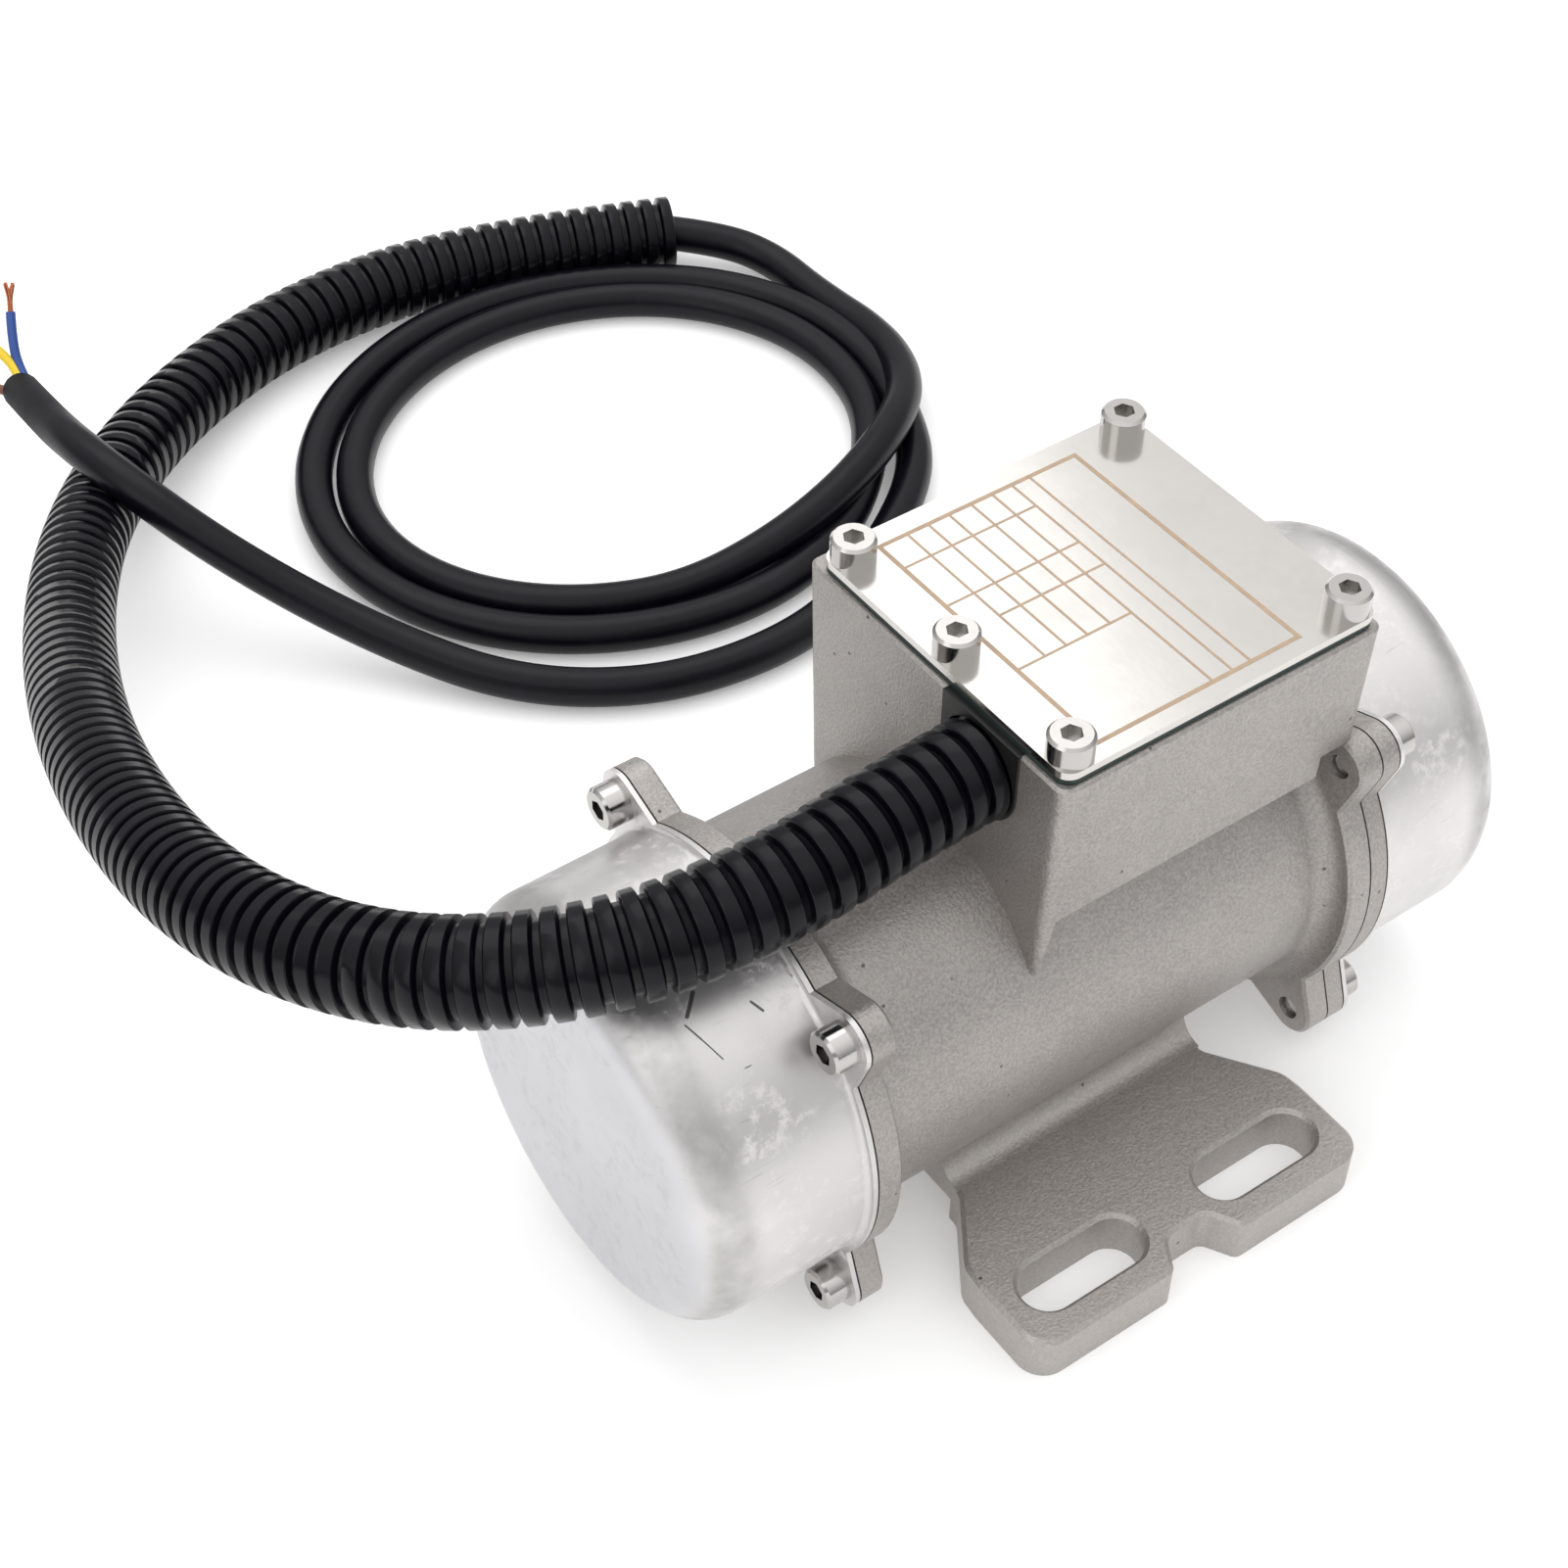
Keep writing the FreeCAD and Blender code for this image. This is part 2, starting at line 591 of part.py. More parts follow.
def cage(x0):
    """The ring that keeps the balls apart, with a round pocket for each."""
    middle = x0 + bearing_w / 2
    half_t, half_w = race_land - 0.9, ball_r + 0.95
    ring = tube_ring(ball_pitch_r + half_t, ball_pitch_r - half_t, middle - half_w, middle + half_w)
    for k in range(ball_count):
        below = Vector(middle, 0, axis_z + ball_pitch_r - ball_r)
        pocket = Part.makeCylinder(ball_r + 0.1, 2 * ball_r, below, up)
        ring = ring.cut(spin(pocket, k * 360.0 / ball_count))
    return ring


# --- eccentric weights -----------------------------------------------------------
key_floor_z = axis_z + shaft_weight_r - key_h / 2


def fixed_weight_x(out):
    """Lower x of the keyed weight at one end; out is -1 or 1."""
    face = near_cap_x - sheet_t if out < 0 else far_cap_x + sheet_t
    start = face + out * (weight_start - 1.0)
    return start if out > 0 else start - weight_t


def loose_weight_x(out):
    return fixed_weight_x(out) + out * (weight_t + weight_space)


def clip_x(out):
    """Lower x of the circlip outside the loose weight."""
    if out > 0:
        return loose_weight_x(out) + weight_t + lay_gap
    return loose_weight_x(out) - lay_gap - clip_t


def key_span(out):
    x0 = fixed_weight_x(out)
    return x0 + 0.8, x0 + weight_t - 0.8


def weight(x0, bore):
    """A sector of a disc hanging below its hub."""
    a = math.radians(weight_half_angle)
    left = Vector(x0, -weight_r * math.sin(a), axis_z - weight_r * math.cos(a))
    right = Vector(x0, weight_r * math.sin(a), axis_z - weight_r * math.cos(a))
    low = Vector(x0, 0, axis_z - weight_r)
    centre = Vector(x0, 0, axis_z)
    sector = Part.Wire([Part.makeLine(centre, left), Part.Arc(left, low, right).toShape(),
                        Part.makeLine(right, centre)])
    solid = Part.Face(sector).extrude(along * weight_t)
    solid = solid.fuse(rod(weight_hub_r, x0, x0 + weight_t))
    return solid.cut(rod(bore, x0 - 1, x0 + weight_t + 1)).removeSplitter()


def fixed_weight(out):
    x0 = fixed_weight_x(out)
    solid = weight(x0, shaft_weight_r + fit_gap)
    k0, k1 = key_span(out)
    return solid.cut(Part.makeBox(weight_t + 2, key_w + 2 * fit_gap, key_h + fit_gap,
                                  Vector(x0 - 1, -key_w / 2 - fit_gap, key_floor_z)))


def loose_weight(out):
    """The weight that can be turned on the shaft and clamped by a cross screw."""
    x0 = loose_weight_x(out)
    solid = weight(x0, shaft_weight_r + 2 * fit_gap)
    split = Part.makeBox(weight_t + 2, 1.6, weight_hub_r + 1, Vector(x0 - 1, -0.8, axis_z + 2))
    solid = solid.cut(split)
    w = clamp_half_width
    lug = clamp_z + 2 * clamp_screw_r - axis_z - w
    ears = Part.makeBox(weight_t, 2 * w, lug, Vector(x0, -w, axis_z + w))
    ears = ears.cut(split.translated(Vector(0, 0, 1))).cut(rod(weight_hub_r - 1, x0 - 1, x0 + weight_t + 1))
    solid = solid.fuse(ears)
    middle = Vector(x0 + weight_t / 2, -10, clamp_z)
    tapped = Part.makeCylinder(clamp_screw_r + thread_gap, 20, middle, Vector(0, 1, 0))
    return solid.cut(tapped).removeSplitter()


clamp_z = axis_z + weight_hub_r + clamp_lift


def clamp_screw(out):
    """A small cap screw across the split of a loose weight."""
    x = loose_weight_x(out) + weight_t / 2
    w, r = clamp_half_width, clamp_screw_r
    shank = Part.makeCylinder(r, 2 * w, Vector(x, -w, clamp_z), Vector(0, 1, 0))
    head = Part.makeCylinder(r + 1.25, 2 * r, Vector(x, -w - 2 * r, clamp_z), Vector(0, 1, 0))
    return shank.fuse(head)


def circlip(out):
    x0 = clip_x(out)
    ring = tube_ring(clip_r, shaft_weight_r - 0.7 + fit_gap, x0 + 0.05, x0 + clip_t - 0.05)
    gap = Part.makeBox(clip_t + 2, 5.0, clip_r + 1, Vector(x0 - 1, -2.5, axis_z))
    return ring.cut(gap)


def wave_washer():
    x0 = far_bearing_x
    return tube_ring(bearing_r - 0.4, ball_pitch_r, x0, x0 + wave_washer_t)


# --- inside the terminal box -----------------------------------------------------
def capacitor():
    """The running capacitor, a sealed block that stands on the floor of the box."""
    length, width, height = capacitor_size
    x1, y1 = box_x1 - box_wall - lid_boss_r, box_half_width - box_wall - 4.6
    return plate(rectangle(x1 - length, x1, y1 - width, y1, 2.0), box_floor_z, height)


def terminal_block():
    """A four-way block with a round well over each screw."""
    x0, y0, pitch, depth, height = 4.0, -20.0, 8.5, 12.0, 11.0
    block = plate(rectangle(x0, x0 + 4 * pitch, y0, y0 + depth, 0.8), box_floor_z, height)
    screws = []
    for k in range(4):
        x, y = x0 + (k + 0.5) * pitch, y0 + depth / 2
        block = block.cut(post(2.6, x, y, box_floor_z + 4.0, box_floor_z + height + 1))
        wire_way = Part.makeCylinder(1.6, depth + 2, Vector(x, y0 - 1, box_floor_z + 2.2), Vector(0, 1, 0))
        block = block.cut(wire_way)
        head = post(2.3, x, y, box_floor_z + 4.0, box_floor_z + 6.0)
        screws.append(head.cut(Part.makeBox(5, 0.7, 0.8, Vector(x - 2.5, y - 0.35, box_floor_z + 5.4))))
    return block, screws


def earth_screw():
    x, y = -3.0, 19.0
    head = post(3.4, x, y, box_floor_z, box_floor_z + 2.4)
    slot = Part.makeBox(8, 0.9, 1.0, Vector(x - 4, y - 0.45, box_floor_z + 1.5))
    return head.cut(slot)


def conduit_grommet():
    """The bush that fills the wall's notch round the conduit."""
    w = box_wall
    plug = conduit_notch(sealant_t - 0.02, box_x0 - 0.4, box_x0 + w)
    top = Part.makeBox(60, 60, 20, Vector(box_x0 - 20, conduit_y - 30, box_top_z))
    bush = plug.cut(top)
    return bush.cut(rod(conduit_r, box_x0 - 2, box_x0 + w + 4, conduit_y, conduit_z)).removeSplitter()


# --- free cords ------------------------------------------------------------------
# Routes are chosen by hand; each corner becomes an arc as large as its runs allow.
conduit_route = [
    (box_x0 + box_wall + 1.5, conduit_y, conduit_z), (-28, -11.6, 85.4), (-52, -13.6, 84.2), (-78, -9, 82.2),
    (-101, 9, 78), (-112.4, 43, 69), (-109, 90, 55), (-93, 142, 36), (-68, 191, 18), (-37, 222.5, 9),
    (0, 236.5, 8.2), (43, 234.5, 8), (84, 217, 8)]
lead_route = [(83.1, 217.4, 8), (93, 210, 6.6), (99.5, 199.5, 4.6), (101.8, 188, 3.9)]
tail_route = [
    (64, 110, 4.2), (47, 100, 3.9), (28.8, 96.2, 3.9), (8.1, 98.8, 3.9), (-8.5, 107.1, 4), (-21.5, 119, 4.6),
    (-32, 134, 7), (-43, 150, 12.4), (-54.2, 165.5, 21.2), (-63, 181, 29.8), (-66.6, 199, 30.8),
    (-64.5, 218, 24), (-61.6, 236, 16)]
coil_outside = [
    (105.4, 166), (105.2, 181), (101.5, 190.5), (92, 198), (80.5, 206.5), (66, 214.5), (48, 221.8),
    (28, 225.3), (3, 218.5), (-19.5, 200), (-31.3, 169), (-24.5, 138), (-1.5, 115), (32, 104.6),
    (64, 106.5), (82, 116), (96, 133), (103.3, 149)]
coil_inside = [
    (86.2, 170), (80, 190), (64, 205), (37, 211.2), (10, 204.5), (-9, 188), (-15.8, 166.5), (-9, 144.5),
    (10, 128), (37, 121.8), (64, 129), (80, 146)]
coil_crossing = (48, 100, 104, 142)   # x and y of the place where one turn lies on the others


def cord(route, radius, label):
    """A round cord along straight runs joined by tangent arcs."""
    points = [Vector(*p) for p in route]
    edges, start, radii = [], points[0], []
    for before, here, after in zip(points, points[1:], points[2:]):
        first, second = here - before, after - here
        turn = first.getAngle(second)
        shorter = min(first.Length, second.Length)
        cut = 0.45 * shorter
        bend = cut / math.tan(turn / 2)
        radii.append(round(bend, 1))
        into, out = here - first.normalize() * cut, here + second.normalize() * cut
        inward = ((into - here) + (out - here)).normalize()
        middle = here + inward * (bend / math.cos(turn / 2) - bend)
        edges += [Part.makeLine(start, into), Part.Arc(into, middle, out).toShape()]
        start = out
    edges.append(Part.makeLine(start, points[-1]))
    path = Part.Wire(edges)
    heading = points[1] - points[0]
    ring = Part.Wire([Part.Circle(points[0], heading, radius).toShape()])
    tube = path.makePipeShell([ring], True, False)
    expected = math.pi * radius ** 2 * path.Length
    print(label, "radii", radii, "length %.1f" % path.Length,
          "volume ratio %.4f" % (tube.Volume / expected), "valid", tube.isValid())
    return tube


def cable_coil():
    """The outer shape of the loose turns that lie behind the motor."""
    def disc(points):
        curve = Part.BSplineCurve()
        curve.interpolate([Vector(x, y, 0) for x, y in points], PeriodicFlag=True)
        return Part.Face(Part.Wire([curve.toShape()]))

    flat = disc(coil_outside).cut(disc(coil_inside))
    x0, x1, y0, y1 = coil_crossing
    over = flat.extrude(up * 4 * cable_r).common(
        Part.makeBox(x1 - x0, y1 - y0, 4 * cable_r, Vector(x0, y0, 0)))
    return flat.extrude(up * 2 * cable_r).fuse(over)


core_ways = {   # side and height in the cable's end, direction and length of each core
    "core_blue": (0.8, 0.75, (0.36, 0.92, 0.14), 24),
    "core_earth": (0.0, -1.15, (0.06, 0.98, 0.10), 26),
    "core_brown": (-0.8, 0.75, (-0.22, 0.96, -0.02), 22),
}


def cores():
    """The three cores at the stripped end of the cable, with bared copper ends."""
    tail, before = Vector(*tail_route[-1]), Vector(*tail_route[-2])
    ahead = (tail - before).normalize()
    aside = ahead.cross(up).normalize()
    lift = aside.cross(ahead).normalize()
    made = {}
    for name, (side, height, way, length) in core_ways.items():
        way = Vector(*way).normalize()
        root = tail + aside * (side * core_r * 1.6) + lift * (height * core_r * 1.5) - ahead * 1.2
        made[name] = Part.makeCylinder(core_r, length, root, way)
        made[name + "_copper"] = Part.makeCylinder(copper_r, 7.0, root + way * length, way)
    return made


# --- write every node ------------------------------------------------------------
os.makedirs("parts", exist_ok=True)

save("motor_body", motor_body())
save("bearing_shield", bearing_shield())
save("shield_gasket", flange_gasket(far_face_x))
save("near_cap_gasket", flange_gasket(near_cap_x))
save("far_cap_gasket", flange_gasket(shield_out_x))
save("near_end_cap", end_cap(near_cap_x, -1))
save("far_end_cap", end_cap(far_cap_x, 1))
near_seat, far_seat = near_cap_x - sheet_t, far_cap_x + sheet_t
near_screws = [socket_screw(Vector(near_seat, y, z), -along, near_screw_reach) for y, z in ear_spots()]
save("near_cap_screws", *near_screws)
far_reach = far_seat - far_back_x - far_screw_short
save("far_cap_screws", *[socket_screw(Vector(far_seat, y, z), along, far_reach) for y, z in ear_spots()])
save("lid_plate", lid_plate())
save("lid_gasket", lid_gasket())
lid_top_z = box_top_z + lid_gasket_t + lid_t
lid_spots = [Vector(x, y, lid_top_z) for x, y in lid_screw_spots()]
save("lid_screws", *[socket_screw(spot, up, lid_screw_reach) for spot in lid_spots])
save("conduit_grommet", conduit_grommet())
save("stator_core", stator_core())
save("stator_winding", stator_winding())
save("rotor_core", rotor_core())
save("rotor_end_rings", rotor_end_ring(-1), rotor_end_ring(1))
save("shaft", shaft())
for end, x0 in (("near", near_bearing_x), ("far", far_bearing_x - bearing_w)):
    save(end + "_bearing_outer_race", race(x0, ball_pitch_r + race_land, bearing_r))
    save(end + "_bearing_inner_race", race(x0, shaft_bearing_r + fit_gap, ball_pitch_r - race_land))
    save(end + "_bearing_balls", *balls(x0))
    save(end + "_bearing_cage", cage(x0))
save("wave_washer", wave_washer())
for end, out in (("near", -1), ("far", 1)):
    save(end + "_fixed_weight", fixed_weight(out))
    save(end + "_loose_weight", loose_weight(out))
    save(end + "_clamp_screw", clamp_screw(out))
    save(end + "_circlip", circlip(out))
    k0, k1 = key_span(out)
    save(end + "_weight_key", Part.makeBox(k1 - k0, key_w, key_h, Vector(k0, -key_w / 2, key_floor_z)))
save("running_capacitor", capacitor())
block, block_screws = terminal_block()
save("terminal_block", block)
save("terminal_screws", *block_screws)
save("earth_screw", earth_screw())
save("conduit", cord(conduit_route, conduit_r, "conduit"))
save("cable_lead", cord(lead_route, cable_r, "lead"))
save("cable_coil", cable_coil())
save("cable_tail", cord(tail_route, cable_r, "tail"))
for name, solid in cores().items():
    save(name, solid)

for name, count, volume, valid in written:
    print("%-26s %2d solid(s) %10.1f mm3 %s" % (name, count, volume, "ok" if valid else "INVALID"))
print(len(written), "nodes")
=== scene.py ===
# %% [markdown]
# # A vibration motor with its conduit and cable
# The motor is a sand-blasted stainless casting on a slotted foot, with drawn caps over its
# eccentric weights and a square terminal box. The hard parts come from the CAD model and
# keep their shape. This script adds what is easier to make here: the corrugated conduit,
# the loose cable with its three cores, the etched ruling of the lid, and every finish.

import json
import math

import bmesh
import bpy
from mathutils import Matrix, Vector


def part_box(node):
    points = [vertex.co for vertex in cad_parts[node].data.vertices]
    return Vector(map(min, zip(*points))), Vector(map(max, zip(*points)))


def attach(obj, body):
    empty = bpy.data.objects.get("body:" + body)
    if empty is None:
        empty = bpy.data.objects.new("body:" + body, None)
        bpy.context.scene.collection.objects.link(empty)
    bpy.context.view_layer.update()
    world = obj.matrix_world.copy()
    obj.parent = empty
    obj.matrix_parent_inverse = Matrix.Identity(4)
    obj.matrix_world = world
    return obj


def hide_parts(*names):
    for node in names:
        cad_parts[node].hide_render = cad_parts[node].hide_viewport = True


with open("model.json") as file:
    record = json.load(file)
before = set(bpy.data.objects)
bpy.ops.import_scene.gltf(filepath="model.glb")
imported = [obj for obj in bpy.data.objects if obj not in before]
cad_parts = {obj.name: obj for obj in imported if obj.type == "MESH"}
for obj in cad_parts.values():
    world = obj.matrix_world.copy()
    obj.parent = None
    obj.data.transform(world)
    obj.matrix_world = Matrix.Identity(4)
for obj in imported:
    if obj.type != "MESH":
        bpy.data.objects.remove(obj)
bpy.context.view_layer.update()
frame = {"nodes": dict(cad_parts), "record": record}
nodes = frame["nodes"]
scene = bpy.context.scene
MM = 0.001

# %% [markdown]
# ## Camera
# The view looks down on the motor from its cap end, from about 44 degrees above the floor.
# A lens of 64 mm on a full frame keeps the perspective of a table-top product view.

# %% Camera
lens_mm = 63.73
camera_place = Vector((-0.19960, -0.21898, 0.36433))
camera_turn = (44.329, -0.438, -35.511)

camera_data = bpy.data.cameras.new("camera")
camera_data.lens = lens_mm
camera_data.sensor_width = 36
camera = bpy.data.objects.new("camera", camera_data)
camera.location = camera_place
camera.rotation_euler = [math.radians(a) for a in camera_turn]
scene.collection.objects.link(camera)
scene.camera = camera
print("camera is", round(camera_place.length, 3), "m from the middle of the foot")

# %% [markdown]
# ## Routes of the conduit and the cable
# Both are round cords of a fixed length. A NURBS curve of order 3 through a handful of
# control points gives each its smooth line. The cable comes out of the conduit's cut end,
# winds two and a half loose turns on the floor, and climbs over the conduit to its
# stripped end. A turn of the coil has its points worked out by a loop, because a loose
# coil is an oval that slowly grows.

# %% Conduit and cable routes in millimetres
conduit_r = 7.9
cable_r = 3.8
conduit_route = [
    (-10.4, -11.3, 85.5), (-28, -11.6, 85.4), (-52, -13.6, 84.2), (-78, -9, 82.2), (-101, 9, 78),
    (-112.4, 43, 69), (-109, 90, 55), (-93, 142, 36), (-68, 191, 18), (-37, 222.5, 9),
    (0, 236.5, 8.2), (43, 234.5, 8), (84, 217, 8)]
lead_route = [(83.1, 217.4, 8), (93, 210, 6.6), (99.5, 199.5, 4.6)]
tail_route = [
    (47, 100, 3.9), (28.8, 96.2, 3.9), (8.1, 98.8, 3.9), (-8.5, 107.1, 4), (-21.5, 119, 4.6),
    (-32, 134, 7), (-43, 150, 12.4), (-54.2, 165.5, 21.2), (-63, 181, 29.8), (-66.6, 199, 30.8),
    (-64.5, 218, 24), (-61.6, 236, 16)]

# how the coil's oval changes: degrees turned, half width, half depth, height
coil_centre = (35.2, 166.2)
coil_course = [
    (-16, 67.5, 62.5, 4.0), (16, 66.0, 58.0, 6.0), (36, 63.0, 54.0, 11.6), (56, 58.0, 52.0, 11.8),
    (76, 54.5, 49.0, 9.0), (100, 53.8, 47.6, 3.9), (180, 55.2, 47.9, 3.9), (270, 54.6, 49.5, 3.9),
    (360, 54.2, 48.3, 3.9), (405, 56.5, 50.0, 3.9), (450, 61.8, 56.8, 3.9), (540, 63.5, 57.8, 3.9),
    (630, 62.5, 57.3, 3.9), (665, 61.4, 55.6, 3.9), (720, 61.8, 57.4, 3.9), (745, 62.0, 60.0, 3.9),
    (765, 63.0, 66.0, 3.9), (782, 63.0, 69.5, 3.9)]
coil_step = 20


def between(turned):
    """The oval's half width, half depth and height after that many degrees."""
    for (d0, *v0), (d1, *v1) in zip(coil_course, coil_course[1:]):
        if turned <= d1:
            t = (turned - d0) / (d1 - d0)
            return [a + (b - a) * t for a, b in zip(v0, v1)]
    return coil_course[-1][1:]


coil_route = []
for turned in range(coil_course[0][0], coil_course[-1][0] + 1, coil_step):
    wide, deep, height = between(turned)
    angle = -math.radians(turned)
    coil_route.append((coil_centre[0] + wide * math.cos(angle),
                       coil_centre[1] + deep * math.sin(angle), height))
cable_route = lead_route + coil_route + tail_route
print(len(coil_route), "points in the coil,", 360 / coil_step, "to a turn")


# %% Smooth line through a route
def curve_along(name, route, resolution):
    """A NURBS curve object whose control points are the route's points."""
    data = bpy.data.curves.new(name, "CURVE")
    data.dimensions = "3D"
    spline = data.splines.new("NURBS")
    spline.points.add(len(route) - 1)
    for point, place in zip(spline.points, route):
        point.co = (*[c * MM for c in place], 1)
    spline.order_u = 3
    spline.use_endpoint_u = True
    data.resolution_u = resolution
    spline.resolution_u = resolution
    curve = bpy.data.objects.new(name, data)
    scene.collection.objects.link(curve)
    return curve


def line_of(curve):
    """The points that a curve with no bevel draws, in order."""
    seen = bpy.context.evaluated_depsgraph_get()
    mesh = bpy.data.meshes.new_from_object(curve.evaluated_get(seen))
    points = [v.co.copy() for v in mesh.vertices]
    bpy.data.meshes.remove(mesh)
    return points


def length_of(points):
    return sum((b - a).length for a, b in zip(points, points[1:]))


def as_mesh(curve):
    """The mesh that a bevelled curve draws, in place of the curve."""
    seen = bpy.context.evaluated_depsgraph_get()
    mesh = bpy.data.meshes.new_from_object(curve.evaluated_get(seen))
    name = curve.name
    bpy.data.objects.remove(curve)
    mesh.shade_smooth()
    mesh.set_sharp_from_angle(angle=math.radians(50))
    piece = bpy.data.objects.new(name, mesh)
    scene.collection.objects.link(piece)
    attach(piece, "housing")
    return piece


def finished(name, bm, body="housing", smooth=40):
    """A mesh object from a bmesh, with its place in its mesh, riding on a body."""
    mesh = bpy.data.meshes.new(name)
    bm.to_mesh(mesh)
    bm.free()
    piece = bpy.data.objects.new(name, mesh)
    scene.collection.objects.link(piece)
    mesh.shade_smooth()
    mesh.set_sharp_from_angle(angle=math.radians(smooth))
    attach(piece, body)
    return piece


# %% [markdown]
# ## Corrugated conduit
# The real conduit is blow-moulded: rounded square ribs with narrow grooves, so that it
# bends. It is modelled straight. One rib is a short chain of edges, repeated to the full
# length, and spun once round the axis. A Curve modifier then bends the tube along its
# route, which crowds the ribs on the inside of a bend as in the real one. The cut end is
# open, so the wall turns in there and runs back inside.

# %% Ribbed tube, straight
rib_pitch = [   # millimetres along the conduit, and the pitch there: it is drawn out where it sags
    (0, 4.05), (60, 3.85), (90, 3.6), (142, 3.3), (200, 3.8),
    (265, 4.9), (335, 4.6), (405, 4.05), (468, 3.95)]
groove_depth = 1.35
wall = 0.7
rib_section = [   # share of the pitch, depth below the ribs
    (0.00, 1.0), (0.24, 1.0), (0.30, 0.86), (0.315, 0.22), (0.37, 0.0), (0.90, 0.0), (0.965, 0.22),
    (0.98, 0.86)]

conduit_line = curve_along("conduit_line", conduit_route, 48)
conduit_points = line_of(conduit_line)
conduit_length = length_of(conduit_points)
end_x = conduit_length / MM

starts = [0.0]
while starts[-1] < end_x:
    for (s0, p0), (s1, p1) in zip(rib_pitch, rib_pitch[1:]):
        if starts[-1] <= s1:
            break
    starts.append(starts[-1] + p0 + (p1 - p0) * (starts[-1] - s0) / (s1 - s0))
rib_count = len(starts) - 1
fitted = [x * end_x / starts[-1] for x in starts]

section = []
for start, following in zip(fitted, fitted[1:]):
    for share, depth in rib_section:
        section.append((start + share * (following - start), conduit_r - depth * groove_depth))
bore_r = conduit_r - groove_depth - wall
section += [(end_x, conduit_r - groove_depth), (end_x, bore_r), (end_x - 16, bore_r), (end_x - 16, 0)]
section = [(0, 0)] + section

bm = bmesh.new()
chain = [bm.verts.new((x * MM, 0, r * MM)) for x, r in section]
for a, b in zip(chain, chain[1:]):
    bm.edges.new((a, b))
bmesh.ops.spin(bm, geom=bm.verts[:] + bm.edges[:], cent=(0, 0, 0), axis=(1, 0, 0), dvec=(0, 0, 0),
               angle=math.tau, steps=44, use_merge=True, use_duplicate=False)
bmesh.ops.remove_doubles(bm, verts=bm.verts, dist=1e-6)
bmesh.ops.recalc_face_normals(bm, faces=bm.faces)
straight = finished("conduit_straight", bm)
print(rib_count, "ribs, about", round(end_x / rib_count, 2), "mm apart")

# %% Bend it along the route
bend = straight.modifiers.new("bend", "CURVE")
bend.object = conduit_line
bend.deform_axis = "POS_X"
bpy.context.view_layer.update()
seen = bpy.context.evaluated_depsgraph_get()
bent = bpy.data.meshes.new_from_object(straight.evaluated_get(seen))
conduit = bpy.data.objects.new("corrugated_conduit", bent)
scene.collection.objects.link(conduit)
bpy.data.objects.remove(straight)
bpy.data.objects.remove(conduit_line)
bent.shade_smooth()
bent.set_sharp_from_angle(angle=math.radians(50))
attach(conduit, "housing")
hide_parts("conduit")
print("conduit", round(conduit_length, 3), "m,", len(bent.polygons), "faces")

# %% [markdown]
# ## Cable
# A round rubber sheath is a NURBS curve with a round bevel, then turned into a mesh so that
# its box is its true size.

# %% Cable sheath
cable = curve_along("cable_sheath", cable_route, 12)
cable_points = line_of(cable)
cable.data.bevel_depth = cable_r * MM
cable.data.bevel_resolution = 8
cable.data.use_fill_caps = True
cable = as_mesh(cable)
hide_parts("cable_lead", "cable_coil", "cable_tail")

# %% [markdown]
# ## Three cores and their copper
# Each core is a short insulated wire that springs a little aside as it leaves the sheath.
# Its bared end is a bundle of fine strands that part into two tufts.

# %% Cores
core_r = 1.0
core_routes = {
    "core_blue": [(-60.2, 234.0, 17.0), (-60.1, 238.6, 18.8), (-59.3, 242.6, 22.6), (-56.9, 246.7, 27.2)],
    "core_earth": [(-61.6, 235.0, 17.2), (-60.7, 238.6, 18.9), (-61.8, 243.0, 21.6), (-65.2, 250.2, 25.6)],
    "core_brown": [(-62.6, 234.6, 16.4), (-63.4, 237.0, 15.8), (-66.2, 240.0, 16.6), (-71.2, 243.6, 18.0)],
}
strand_r = 0.2
strand_ring = 0.42
bare_length = 6.4
core_pieces = []

for name, route in core_routes.items():
    core = curve_along(name + "_wire", route, 12)
    core.data.bevel_depth = core_r * MM
    core.data.bevel_resolution = 5
    core.data.use_fill_caps = True
    core = as_mesh(core)
    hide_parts(name)

    tip = Vector(route[-1])
    ahead = (tip - Vector(route[-2])).normalized()
    side = ahead.cross(Vector((0, 0, 1))).normalized()
    other = ahead.cross(side)
    strands = bpy.data.curves.new(name + "_strands", "CURVE")
    strands.dimensions = "3D"
    strands.bevel_depth = strand_r * MM
    strands.bevel_resolution = 1
    strands.use_fill_caps = True
    for k in range(12):   # the strands part into two tufts
        spline = strands.splines.new("NURBS")
        spline.points.add(6)
        for i, point in enumerate(spline.points):
            turn = k * math.tau / 12 + i * 0.12
            out = strand_ring * (0.35 + 0.65 * (k % 2))
            tuft = side * ((1 if k < 6 else -1) * 1.7 * max(0, i / 6 - 0.4) ** 1.5)
            around = (side * math.cos(turn) + other * math.sin(turn)) * out
            reach = bare_length * (1 - 0.06 * (k % 3))
            place = tip + ahead * (reach * i / 6 - 0.4) + around + tuft
            point.co = (*(place * MM), 1)
        spline.order_u = 3
        spline.use_endpoint_u = True
    bundle = bpy.data.objects.new(name + "_strands", strands)
    scene.collection.objects.link(bundle)
    bundle = as_mesh(bundle)
    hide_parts(name + "_copper")
    core_pieces += [core, bundle]
print(len(core_pieces), "pieces at the stripped end")

# %% First point of the cable route, in metres
[c * MM for c in cable_route[0]]

# %% [markdown]
# ## Etched ruling of the lid
# The lid carries a ruled frame with empty fields. Etching takes away almost nothing, so
# each line is a strip only a few hundredths of a millimetre proud, in a tan stain.

